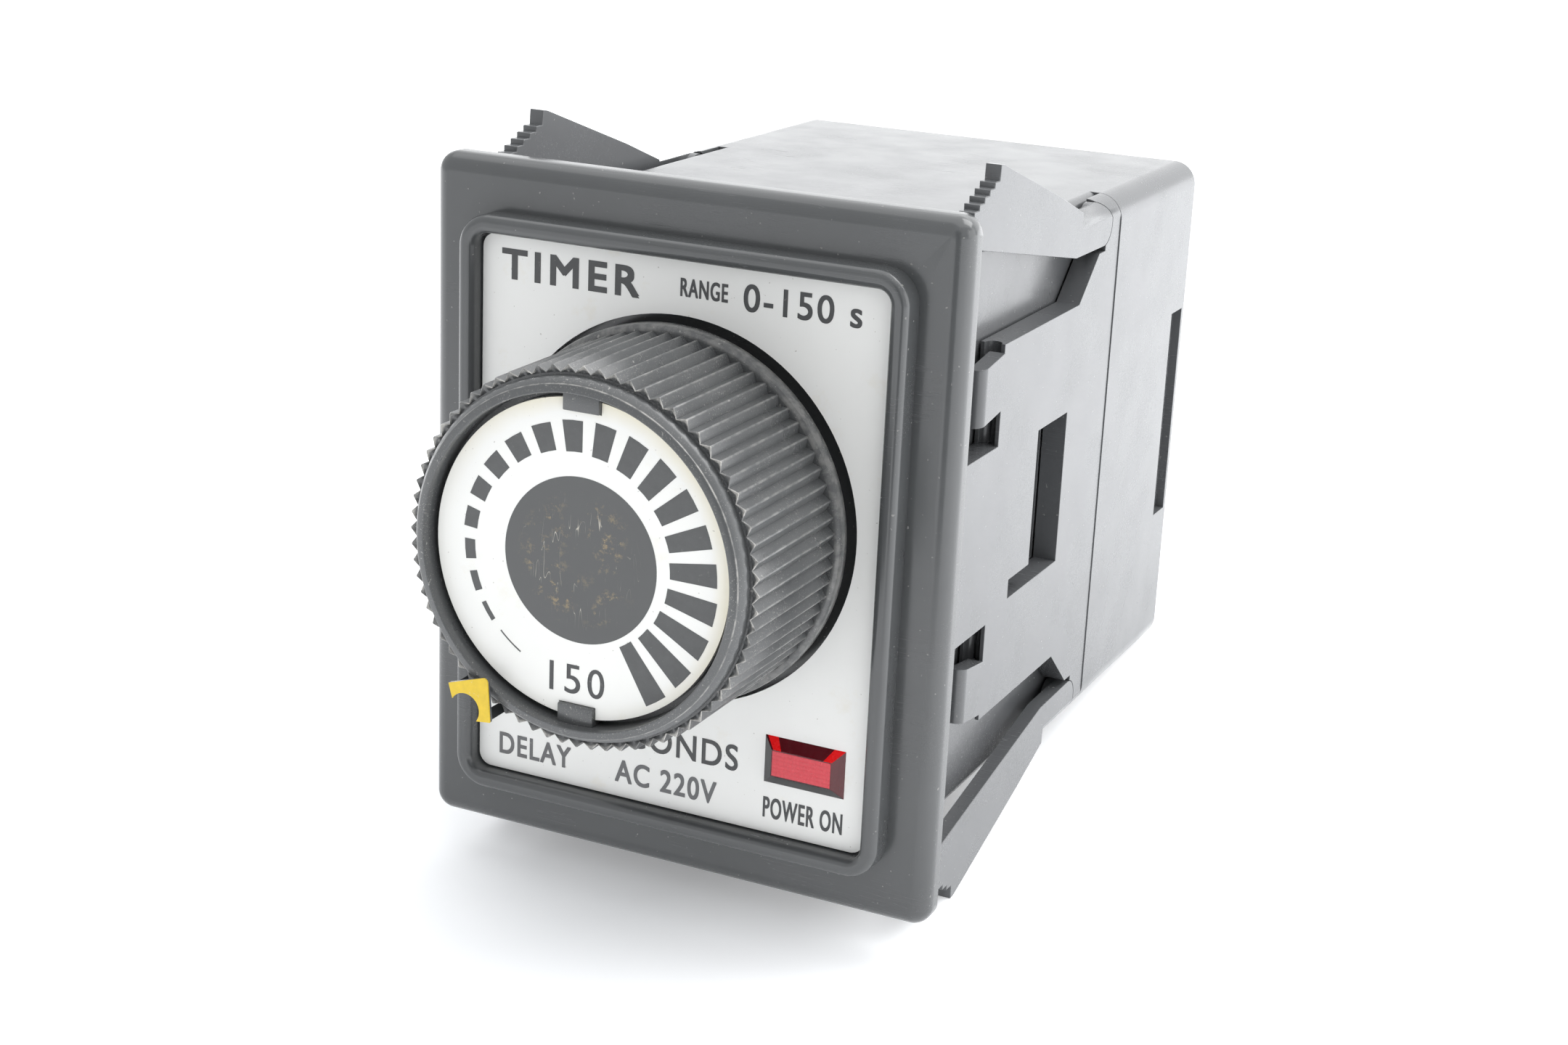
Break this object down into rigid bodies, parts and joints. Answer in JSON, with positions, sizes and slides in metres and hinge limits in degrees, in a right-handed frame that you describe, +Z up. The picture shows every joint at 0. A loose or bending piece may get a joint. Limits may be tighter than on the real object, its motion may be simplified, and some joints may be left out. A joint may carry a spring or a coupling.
{
  "type": "panel timer",
  "caption": "Flush-panel dial timer: framed nameplate, large knurled knob with wedge scale, lamp, snap clips and round plug base.",
  "frame": {"origin": "centre of the plug base's rear face, on the plug's axis", "axes": "+Y out of the back along the plug pins, +X to the right seen from the front, +Z up"},
  "size_m": [0.0528, 0.1164, 0.0704],
  "materials": {
    "bezel": "moulded, glossy",
    "case": "moulded, glossy",
    "nameplate": "matte silver-white, printed",
    "knob": "satin, knurled",
    "scale": "matte white, printed",
    "pointer_yellow": "painted",
    "lens_red": "translucent",
    "bulb": "clear",
    "white_plastic": "moulded",
    "black_phenolic": "moulded",
    "brown_phenolic": "laminate",
    "board": "laminate",
    "brass_parts": "plated",
    "steel": "zinc plated",
    "nickel_pins": "nickel plated",
    "copper": "enamelled wire",
    "tape_yellow": "tape",
    "carbon": "carbon film",
    "silicon_steel": "lacquered laminations",
    "capacitor_blue": "sleeve",
    "ceramic_body": "unglazed",
    "resistor_tan": "lacquered",
    "wire_red": "insulation"
  },
  "bodies": {
    "housing": {"bezel": "bezel", "nameplate": "nameplate", "pointer": "bezel", "pointer_face": "pointer_yellow", "lens": "lens_red", "lamp_bulb": "bulb", "lamp_holder": "white_plastic", "pot_bushing": "brass_parts", "pot_nut": "steel", "pot_can": "steel", "pot_element_disc": "brown_phenolic", "pot_track": "carbon", "pot_terminals": "brass_parts", "hookup_wires": "wire_red", "case": "case", "plug_base": "black_phenolic", "plug_pins": "nickel_pins", "base_screws": "steel", "tie_rods": "steel", "tie_nuts": "steel", "plug_leads": "wire_red", "adapter_plate_right": "case", "adapter_plate_left": "case", "board_right": "board", "board_left": "board", "board_spacers": "white_plastic", "spacer_screws": "steel", "transformer_core": "silicon_steel", "transformer_bobbin": "white_plastic", "transformer_winding": "tape_yellow", "timing_capacitor": "capacitor_blue", "smoothing_capacitor": "capacitor_blue", "power_resistor": "ceramic_body", "resistors": "resistor_tan", "transistors": "black_phenolic", "relay_yoke": "steel", "relay_core": "steel", "relay_bobbin": "white_plastic", "relay_coil": "copper", "armature_pin": "steel", "contact_block": "brown_phenolic", "fixed_contacts": "brass_parts"},
    "dial": {"knob": "knob", "scale_plate": "scale", "hub_clip": "steel", "pot_shaft": "brass_parts", "wiper_carrier": "white_plastic", "wiper": "brass_parts"},
    "armature": {"armature": "steel", "armature_card": "brown_phenolic", "moving_blade": "brass_parts"},
    "clip_upper_right": {"clip_upper_right": "case"},
    "finger_upper_right": {"finger_upper_right": "case"},
    "clip_upper_left": {"clip_upper_left": "case"},
    "finger_upper_left": {"finger_upper_left": "case"},
    "clip_lower_right": {"clip_lower_right": "case"},
    "finger_lower_right": {"finger_lower_right": "case"},
    "clip_lower_left": {"clip_lower_left": "case"},
    "finger_lower_left": {"finger_lower_left": "case"}
  },
  "joints": [
    {"name": "dial_turn", "type": "hinge", "parent": "housing", "child": "dial", "pos_m": [0, -0.0754, 0.003], "axis": [0, -1, 0], "range_deg": [0, 288]},
    {"name": "armature_close", "type": "hinge", "parent": "housing", "child": "armature", "pos_m": [0, -0.0216, 0.0064], "axis": [1, 0, 0], "range_deg": [0, 2.8], "stiffness_Nm_per_rad": 0.1},
    {"name": "clip_flex_upper_right", "type": "hinge", "parent": "housing", "child": "clip_upper_right", "pos_m": [0.023, -0.0388, 0.0252], "axis": [1, 0, 0], "range_deg": [0, 11], "stiffness_Nm_per_rad": 1.5},
    {"name": "finger_flex_upper_right", "type": "hinge", "parent": "housing", "child": "finger_upper_right", "pos_m": [0.0227, -0.065, 0.0149], "axis": [0, 0, -1], "range_deg": [0, 5], "stiffness_Nm_per_rad": 1},
    {"name": "clip_flex_upper_left", "type": "hinge", "parent": "housing", "child": "clip_upper_left", "pos_m": [-0.023, -0.0388, 0.0252], "axis": [1, 0, 0], "range_deg": [0, 11], "stiffness_Nm_per_rad": 1.5},
    {"name": "finger_flex_upper_left", "type": "hinge", "parent": "housing", "child": "finger_upper_left", "pos_m": [-0.0227, -0.065, 0.0149], "axis": [0, 0, 1], "range_deg": [0, 5], "stiffness_Nm_per_rad": 1},
    {"name": "clip_flex_lower_right", "type": "hinge", "parent": "housing", "child": "clip_lower_right", "pos_m": [0.023, -0.0388, -0.0252], "axis": [-1, 0, 0], "range_deg": [0, 11], "stiffness_Nm_per_rad": 1.5},
    {"name": "finger_flex_lower_right", "type": "hinge", "parent": "housing", "child": "finger_lower_right", "pos_m": [0.0227, -0.065, -0.0149], "axis": [0, 0, -1], "range_deg": [0, 5], "stiffness_Nm_per_rad": 1},
    {"name": "clip_flex_lower_left", "type": "hinge", "parent": "housing", "child": "clip_lower_left", "pos_m": [-0.023, -0.0388, -0.0252], "axis": [-1, 0, 0], "range_deg": [0, 11], "stiffness_Nm_per_rad": 1.5},
    {"name": "finger_flex_lower_left", "type": "hinge", "parent": "housing", "child": "finger_lower_left", "pos_m": [-0.0227, -0.065, -0.0149], "axis": [0, 0, 1], "range_deg": [0, 5], "stiffness_Nm_per_rad": 1}
  ]
}
